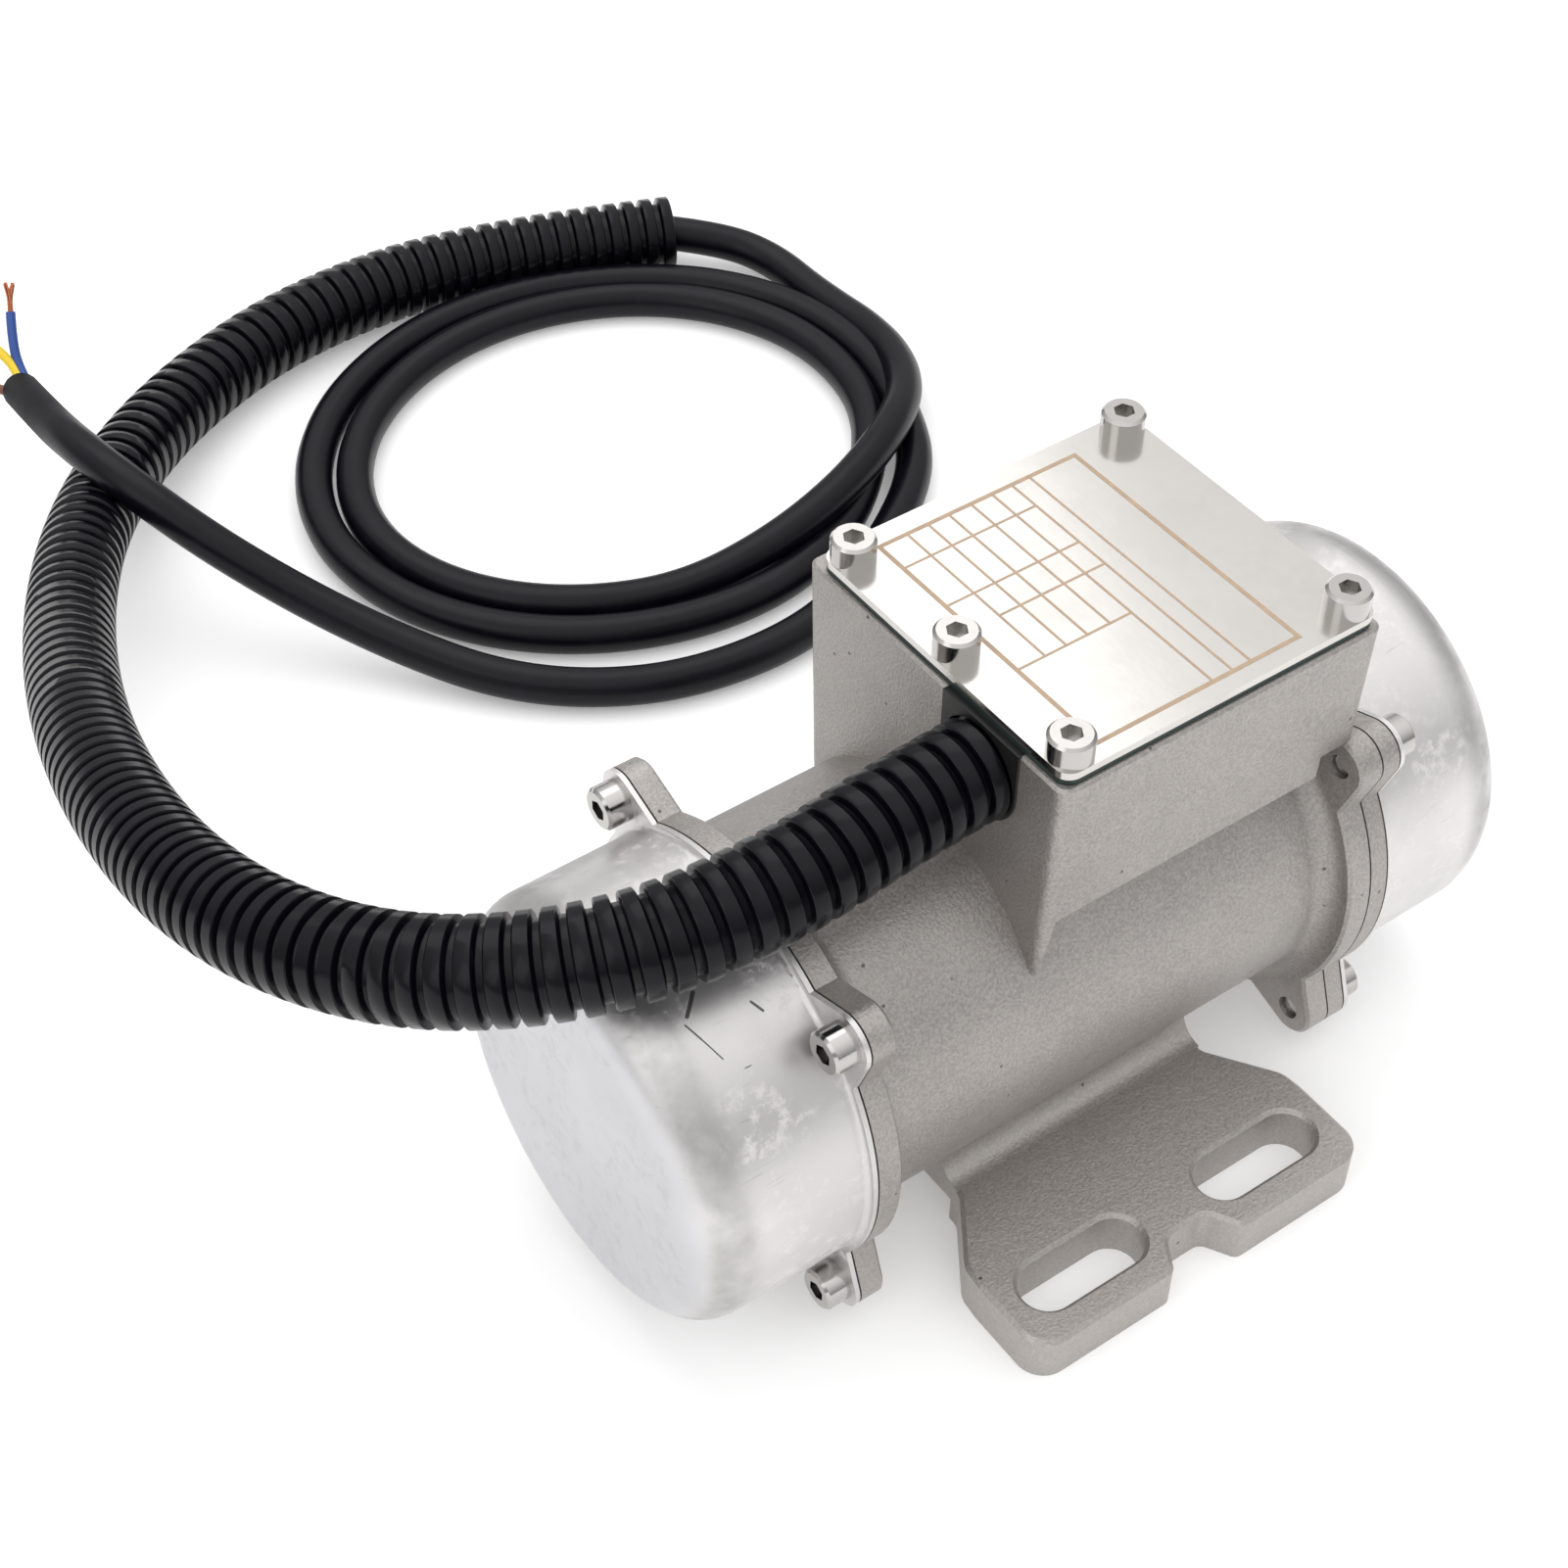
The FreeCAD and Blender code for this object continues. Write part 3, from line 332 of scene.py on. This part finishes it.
# %% Ruled frame
lid_low, lid_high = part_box("lid_plate")
lid_top = lid_high[2] / MM
rule_w = 0.42
frame_w = 0.75
x0, x1, y0, y1 = -6.1, 31.2, -25.4, 24.5
rules = [   # x from, x to, y from, y to, width
    (x0, x1, y0, y0, frame_w), (x0, x1, y1, y1, frame_w),
    (x0, x0, y0, y1, frame_w), (x1, x1, y0, y1, frame_w),
    (22.2, 22.2, y0, y1, rule_w), (18.8, 18.8, y0, y1, rule_w), (15.0, 15.0, y0, y1, rule_w),
    (11.0, 11.0, -7.8, y1, rule_w), (6.8, 6.8, -7.8, y1, rule_w), (2.9, 2.9, -7.8, y1, rule_w),
    (-1.0, -1.0, -7.8, y1, rule_w), (x0, 18.8, 18.6, 18.6, rule_w), (x0, 18.8, 8.5, 8.5, rule_w),
    (-1.0, 18.8, 2.6, 2.6, rule_w), (x0, 15.0, -7.8, -7.8, rule_w)]
bm = bmesh.new()
for xa, xb, ya, yb, width in rules:
    made = bmesh.ops.create_cube(bm, size=1)["verts"]
    size = (xb - xa + width, yb - ya + width, 0.05 if ya == yb else 0.06)
    bmesh.ops.scale(bm, vec=[s * MM for s in size], verts=made)
    bmesh.ops.translate(bm, vec=((xa + xb) / 2 * MM, (ya + yb) / 2 * MM, lid_top * MM), verts=made)
ruling = finished("lid_ruling", bm)
print(len(rules), "ruled lines")


# %% [markdown]
# ## Shader helpers
# A finish is a Principled shader with a few procedural layers. `Value` wraps a socket so
# that layers can be combined with ordinary arithmetic, and `Finish` adds the nodes.

# %% Values and finishes
class Value:
    """A socket that takes part in arithmetic by adding Math nodes."""

    def __init__(self, finish, socket):
        self.finish = finish
        self.socket = socket

    def with_(self, operation, first, second):
        made = self.finish.node("ShaderNodeMath", {"operation": operation}, {0: first, 1: second})
        return Value(self.finish, made.outputs[0])

    def __add__(self, other):
        return self.with_("ADD", self, other)

    def __sub__(self, other):
        return self.with_("SUBTRACT", self, other)

    def __mul__(self, other):
        return self.with_("MULTIPLY", self, other)

    def __rsub__(self, other):
        return self.with_("SUBTRACT", other, self)

    __radd__ = __add__
    __rmul__ = __mul__


class Finish:
    """A material with one Principled shader and nodes that shape it."""

    def __init__(self, name, color, metallic=0.0, roughness=0.5, **fixed):
        self.material = bpy.data.materials.new(name)
        self.material.use_nodes = True
        self.tree = self.material.node_tree
        self.shader = self.tree.nodes["Principled BSDF"]
        self.color = color
        self.set("Base Color", (*color, 1))
        self.set("Metallic", metallic)
        self.set("Roughness", roughness)
        for name, value in fixed.items():
            self.set(name.replace("_", " "), value)
        place = self.tree.nodes.new("ShaderNodeTexCoord")
        self.place = place.outputs["Object"]

    def set(self, name, value):
        self.link(self.shader.inputs[name], value)

    def link(self, socket, value):
        if isinstance(value, Value):
            value = value.socket
        if isinstance(value, bpy.types.NodeSocket):
            self.tree.links.new(value, socket)
        else:
            socket.default_value = value

    def node(self, kind, settings, inputs):
        made = self.tree.nodes.new(kind)
        for name, value in settings.items():
            setattr(made, name, value)
        for name, value in inputs.items():
            self.link(made.inputs[name], value)
        return made

    def stretched(self, x, y, z):
        made = self.node("ShaderNodeMapping", {}, {"Vector": self.place, "Scale": (x, y, z)})
        return made.outputs[0]

    def noise(self, size_mm, detail=3.0, rough=0.5, place=None):
        made = self.node("ShaderNodeTexNoise", {}, {
            "Vector": place or self.place, "Scale": 1 / (size_mm * MM),
            "Detail": detail, "Roughness": rough})
        return Value(self, made.outputs["Fac"])

    def cells(self, size_mm, feature="F1", place=None):
        made = self.node("ShaderNodeTexVoronoi", {"feature": feature}, {
            "Vector": place or self.place, "Scale": 1 / (size_mm * MM)})
        return Value(self, made.outputs["Distance"])

    def step(self, value, low, high):
        """0 below low, 1 above high, smooth between."""
        made = self.node("ShaderNodeMapRange", {"interpolation_type": "SMOOTHSTEP"}, {
            "Value": value, "From Min": low, "From Max": high})
        return Value(self, made.outputs["Result"])

    def mark(self, start, end, width):
        """1 on a line from start to end, given in millimetres, and 0 away from it."""
        start, course = Vector(start), Vector(end) - Vector(start)
        split = self.node("ShaderNodeSeparateXYZ", {}, {0: self.place}).outputs
        off = [Value(self, part) * 1000 - first for part, first in zip(split, start)]
        along = sum(part * (run / course.length_squared) for part, run in zip(off, course))
        along = Value(self, self.node("ShaderNodeMapRange", {}, {"Value": along}).outputs["Result"])
        away = [part - along * run for part, run in zip(off, course)]
        return 1 - self.step(sum(part * part for part in away), (width / 4) ** 2, (width / 2) ** 2)

    def blend(self, share, first, second):
        made = self.node("ShaderNodeMix", {"data_type": "RGBA"}, {0: share})
        colors = [s for s in made.inputs if s.type == "RGBA"]
        for socket, color in zip(colors, (first, second)):
            self.link(socket, color if isinstance(color, bpy.types.NodeSocket) else (*color, 1))
        return [s for s in made.outputs if s.type == "RGBA"][0]

    def bump(self, height, depth_mm, strength=1.0):
        made = self.node("ShaderNodeBump", {}, {
            "Height": height, "Distance": depth_mm * MM, "Strength": strength})
        self.set("Normal", made.outputs[0])


def tint(color, factor):
    return tuple(min(1, c * factor) for c in color)


# %% [markdown]
# ## Finishes of the metal
# The casting is blasted with fine grit: an even grain, a few casting pits, and a slightly
# blotchy tone, with painted light that makes it lighter on the foot. The caps are drawn
# sheet with frosty patches and a few scratches, a painted dark reflection round their
# rounded edges, and end faces painted in a darker shade than their sides. The lid
# is ground and polished, and the screws are bright.

# %% Cast, drawn and polished stainless
cast = Finish("blasted_cast_stainless", (0.405, 0.38, 0.362), metallic=0.85, roughness=0.46)
blotch = cast.noise(16, 3) * 0.6 + cast.noise(4, 2) * 0.4
pits = cast.step(cast.cells(6.5), 0.03, 0.055)
grain = cast.noise(0.48, 2, 0.6)
tone = cast.blend(cast.step(blotch, 0.35, 0.65), tint(cast.color, 0.90), tint(cast.color, 1.08))
speck = cast.blend(cast.step(grain, 0.32, 0.70), tint(cast.color, 0.76), tint(cast.color, 1.22))
mixed = cast.blend(0.62, tone, speck)
# painted light: below 8 to 22 mm height the casting is painted lighter, half grain and half a lighter tint,
# so the foot reads as more brightly lit
height = Value(cast, cast.node("ShaderNodeSeparateXYZ", {}, {0: cast.place}).outputs[2])
mixed = cast.blend(cast.step(height, 8 * MM, 22 * MM), cast.blend(0.5, speck, tint(cast.color, 1.3)), mixed)
cast.set("Base Color", cast.blend(pits, tint(cast.color, 0.4), mixed))
cast.set("Roughness", 0.38 + grain * 0.22)
cast.bump(grain * 0.75 + cast.noise(1.3, 2) * 0.35 + pits * 0.8, 0.15, 0.9)

scratches = [   # start, end and width of each scratch on the near cap
    ((-68.1, -15.3, 69.0), (-67.1, -17.7, 67.7), 0.34), ((-67.1, -17.7, 67.7), (-65.7, -20.9, 65.6), 0.26),
    ((-64.6, -12.0, 70.4), (-67.2, -14.4, 69.4), 0.8), ((-63.4, -22.9, 64.0), (-62.4, -22.9, 63.9), 0.2),
    ((-58.0, -16.6, 68.4), (-57.1, -18.2, 67.4), 0.5), ((-77.8, -35.0, 37.1), (-76.9, -35.0, 38.5), 0.3)]
chalked = ((-48.5, 22.0, 64.8), (-49.6, 19.0, 67.0), 1.8)
drawn = Finish("satin_drawn_stainless", (0.69, 0.672, 0.668), metallic=0.9, roughness=0.34)
cloud = drawn.noise(13, 4, 0.6)
patch = drawn.noise(2.6, 7, 0.82)
frost = drawn.step(patch, 0.49, 0.60) * drawn.step(cloud, 0.40, 0.56)
fine = drawn.noise(0.5, 3, 0.6)
rubbed = drawn.step(drawn.noise(0.5, 2, 0.5, drawn.stretched(0.05, 0.4, 1.0)), 0.68, 0.74)
broad = drawn.step(drawn.noise(20, 3), 0.35, 0.65)
plainer = drawn.blend(broad, tint(drawn.color, 0.93), tint(drawn.color, 1.05))
scored = drawn.blend(rubbed * 0.35, plainer, tint(drawn.color, 0.6))
frosted = drawn.blend(frost * 0.7, scored, tint(drawn.color, 1.22))
scratch = sum(drawn.mark(*line) for line in scratches)
marked = drawn.blend(scratch, frosted, tint(drawn.color, 0.2))
blue = drawn.mark(*chalked) * drawn.step(drawn.noise(0.9, 3), 0.42, 0.6)
sides = drawn.blend(blue, marked, (0.25, 0.5, 0.75))
across = Value(drawn, drawn.node("ShaderNodeSeparateXYZ", {}, {0: drawn.place}).outputs[0])
end_x0, end_x1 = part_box("near_end_cap")[0][0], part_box("far_end_cap")[1][0]
depth = across.with_("MINIMUM", across - end_x0, end_x1 - across)
inside = drawn.step(depth, 0, 3 * MM)
# painted reflection: a cloudy band 1 to 11 mm in from each cap's end is painted darker, standing in for the
# dark reflection on the caps' rounded edge
painted_reflection_band = drawn.step(depth, 1 * MM, 3.5 * MM) * (1 - drawn.step(depth, 6 * MM, 11 * MM))
sides = drawn.blend(painted_reflection_band * drawn.step(cloud, 0.25, 0.6), sides, tint(drawn.color, 0.68))
# painted shade: within 3 mm of each end the caps' faces get a darker copy of the steel than the sides,
# standing in for less light falling on them; their bluish tint is their own
faces = drawn.blend(broad, (0.585, 0.582, 0.60), (0.61, 0.607, 0.625))
drawn.set("Base Color", drawn.blend(inside, faces, sides))
drawn.set("Roughness", 0.33 + frost * 0.22 + fine * 0.12)
drawn.bump(fine * 0.3 + cloud * 0.5 + patch * 0.2 - scratch, 0.06, 0.5)

sheet = Finish("polished_lid_sheet", (0.63, 0.61, 0.583), metallic=1.0, roughness=0.16)
stain = sheet.noise(11, 4, 0.6)
sheet.set("Base Color", sheet.blend(sheet.step(stain, 0.4, 0.7), sheet.color, tint(sheet.color, 0.93)))
sheet.set("Roughness", 0.11 + stain * 0.12)
sheet.bump(sheet.noise(0.9, 2), 0.01, 0.3)

bright = Finish("polished_screw_steel", (0.51, 0.495, 0.48), metallic=1.0, roughness=0.12)
bright.set("Roughness", 0.1 + bright.noise(1.2, 3) * 0.14)
bright.bump(bright.noise(0.7, 2), 0.01, 0.3)

etched = Finish("etched_ruling", (0.40, 0.29, 0.20), metallic=0.0, roughness=0.6)
fade = etched.noise(1.6, 3)
etched.set("Base Color", etched.blend(fade, tint(etched.color, 0.9), tint(etched.color, 1.35)))

# %% [markdown]
# ## Finishes of plastic, rubber and the parts inside
# Black plastic is never quite black: a little grey dust and a soft sheen give it its
# shape. The inner parts are seen only when the motor is opened, and get plainer finishes.

# %% Conduit, cable and seals
ribbed = Finish("black_conduit_plastic", (0.0025, 0.0025, 0.0045), roughness=0.3, Specular_IOR_Level=0.19)
dust = ribbed.noise(6, 4, 0.6)
ribbed.set("Base Color", ribbed.blend(ribbed.step(dust, 0.5, 0.8), ribbed.color, tint(ribbed.color, 2.2)))
ribbed.set("Roughness", 0.16 + dust * 0.14)
ribbed.bump(ribbed.noise(0.8, 2), 0.02, 0.3)

sheath = Finish("black_cable_rubber", (0.0025, 0.0025, 0.005), roughness=0.35, Specular_IOR_Level=0.21)
scuff = sheath.noise(5, 4, 0.6)
sheath.set("Base Color", sheath.blend(sheath.step(scuff, 0.5, 0.8), sheath.color, tint(sheath.color, 2.0)))
px, py, pz = [Value(sheath, part) for part in sheath.node(
    "ShaderNodeSeparateXYZ", {}, {0: sheath.place}).outputs]
dulled = sheath.step(py, 195 * MM, 215 * MM) * (1 - sheath.step(px, -50 * MM, -30 * MM))
sheath.set("Roughness", 0.24 + scuff * 0.16 + dulled * 0.4)
sheath.bump(sheath.noise(1.5, 3), 0.02, 0.3)


def plain(name, color, metallic, roughness, grain_mm=1.0):
    """A finish with a little variation and grain."""
    made = Finish(name, color, metallic, roughness)
    vary = made.noise(grain_mm * 4, 3)
    made.set("Base Color", made.blend(vary, tint(color, 0.85), tint(color, 1.15)))
    made.set("Roughness", roughness - 0.06 + vary * 0.12)
    made.bump(made.noise(grain_mm * 0.4, 2), 0.02, 0.3)
    return made


finishes = {
    "cast_stainless": cast, "drawn_stainless": drawn, "polished_sheet": sheet, "polished_steel": bright,
    "conduit_plastic": ribbed, "cable_rubber": sheath,
    "black_gasket": plain("black_paper_gasket", (0.02, 0.02, 0.02), 0, 0.7),
    "lid_rubber": plain("dark_lid_rubber", (0.010, 0.024, 0.021), 0, 0.5),
    "black_sealant": plain("black_sealing_compound", (0.01, 0.01, 0.01), 0, 0.35),
    "electrical_steel": plain("laminated_steel", (0.3, 0.3, 0.32), 0.9, 0.45),
    "enamelled_copper": plain("varnished_copper", (0.42, 0.12, 0.04), 0.8, 0.35),
    "cast_aluminium": plain("cast_aluminium", (0.6, 0.6, 0.61), 0.95, 0.4),
    "ground_steel": plain("ground_steel", (0.52, 0.52, 0.53), 1.0, 0.25),
    "bearing_steel": plain("bearing_steel", (0.62, 0.62, 0.63), 1.0, 0.12),
    "cage_steel": plain("pressed_steel", (0.42, 0.40, 0.37), 0.9, 0.4),
    "weight_steel": plain("sawn_steel", (0.34, 0.34, 0.35), 0.9, 0.45),
    "capacitor_case": plain("capacitor_case", (0.62, 0.62, 0.60), 0, 0.45),
    "terminal_plastic": plain("terminal_nylon", (0.68, 0.66, 0.60), 0, 0.4),
    "brass_parts": plain("plain_brass", (0.62, 0.45, 0.18), 1.0, 0.3),
    "core_blue": plain("blue_insulation", (0.02, 0.07, 0.30), 0, 0.35),
    "core_brown": plain("brown_insulation", (0.16, 0.055, 0.03), 0, 0.35),
    "bare_copper": plain("bare_copper", (0.46, 0.17, 0.085), 1.0, 0.4),
}

earth = Finish("yellow_and_green_insulation", (0.85, 0.60, 0.02), roughness=0.35)
place = [Value(earth, part) for part in earth.node("ShaderNodeSeparateXYZ", {}, {0: earth.place}).outputs]
under = place[1] * 0.443 - place[0] * 0.173 - place[2] * 0.88
stripe = earth.step(under - 99.6 * MM, 0.3 * MM, 0.4 * MM)
earth.set("Base Color", earth.blend(stripe, earth.color, (0.03, 0.22, 0.04)))
finishes["core_earth"] = earth
print(len(finishes), "finishes")

# %% Give every node and piece its finish
slot_of = {part["node"]: part["material_slot"] for part in frame["record"]["subparts"]}
for name, obj in nodes.items():
    obj.data.materials.clear()
    obj.data.materials.append(finishes[slot_of[name]].material)
conduit.data.materials.clear()
conduit.data.materials.append(ribbed.material)
cable.data.materials.clear()
cable.data.materials.append(sheath.material)
ruling.data.materials.append(etched.material)
for core, bundle in zip(core_pieces[::2], core_pieces[1::2]):
    core.data.materials.clear()
    core.data.materials.append(finishes[core.name.replace("_wire", "")].material)
    bundle.data.materials.clear()
    bundle.data.materials.append(finishes["bare_copper"].material)

# %% [markdown]
# ## Floor and light
# A white floor under a pale sky gives bright metal something white to reflect. A broad
# lamp from above and behind shapes the barrel, and a long one at the side lifts the caps.

# %% Floor, sky and lamps
bm = bmesh.new()
bmesh.ops.create_grid(bm, x_segments=1, y_segments=1, size=4)
floor_mesh = bpy.data.meshes.new("floor")
bm.to_mesh(floor_mesh)
bm.free()
floor = bpy.data.objects.new("floor", floor_mesh)
scene.collection.objects.link(floor)
pale = Finish("pale_floor", (0.86, 0.86, 0.86), roughness=0.9,
              Emission_Color=(1, 1, 1, 1), Emission_Strength=0.25)
floor_mesh.materials.append(pale.material)

world = bpy.data.worlds.new("studio")
scene.world = world
world.use_nodes = True
sky = world.node_tree.nodes["Background"]
way = world.node_tree.nodes.new("ShaderNodeTexCoord")
split = world.node_tree.nodes.new("ShaderNodeSeparateXYZ")
climb = world.node_tree.nodes.new("ShaderNodeMapRange")
climb.inputs["To Min"].default_value = 0.28    # brightness at the horizon
climb.inputs["To Max"].default_value = 1.5    # and overhead
world.node_tree.links.new(way.outputs["Generated"], split.inputs[0])
world.node_tree.links.new(split.outputs["Z"], climb.inputs["Value"])
world.node_tree.links.new(climb.outputs["Result"], sky.inputs["Strength"])
sky.inputs["Color"].default_value = (1, 1, 1, 1)


def lamp(name, place, aim, size, power):
    data = bpy.data.lights.new(name, "AREA")
    data.shape = "RECTANGLE"
    data.size, data.size_y = size
    data.energy = power
    obj = bpy.data.objects.new(name, data)
    obj.location = place
    obj.rotation_euler = (Vector(aim) - Vector(place)).to_track_quat("-Z", "Y").to_euler()
    scene.collection.objects.link(obj)


lamp("softbox_above", (0.1, 0.5, 0.9), (0, 0.05, 0.04), (0.9, 0.7), 1.8)
lamp("softbox_left", (-0.8, -0.1, 0.5), (0, 0, 0.04), (0.5, 0.6), 0.8)
scene.view_settings.view_transform = "Standard"
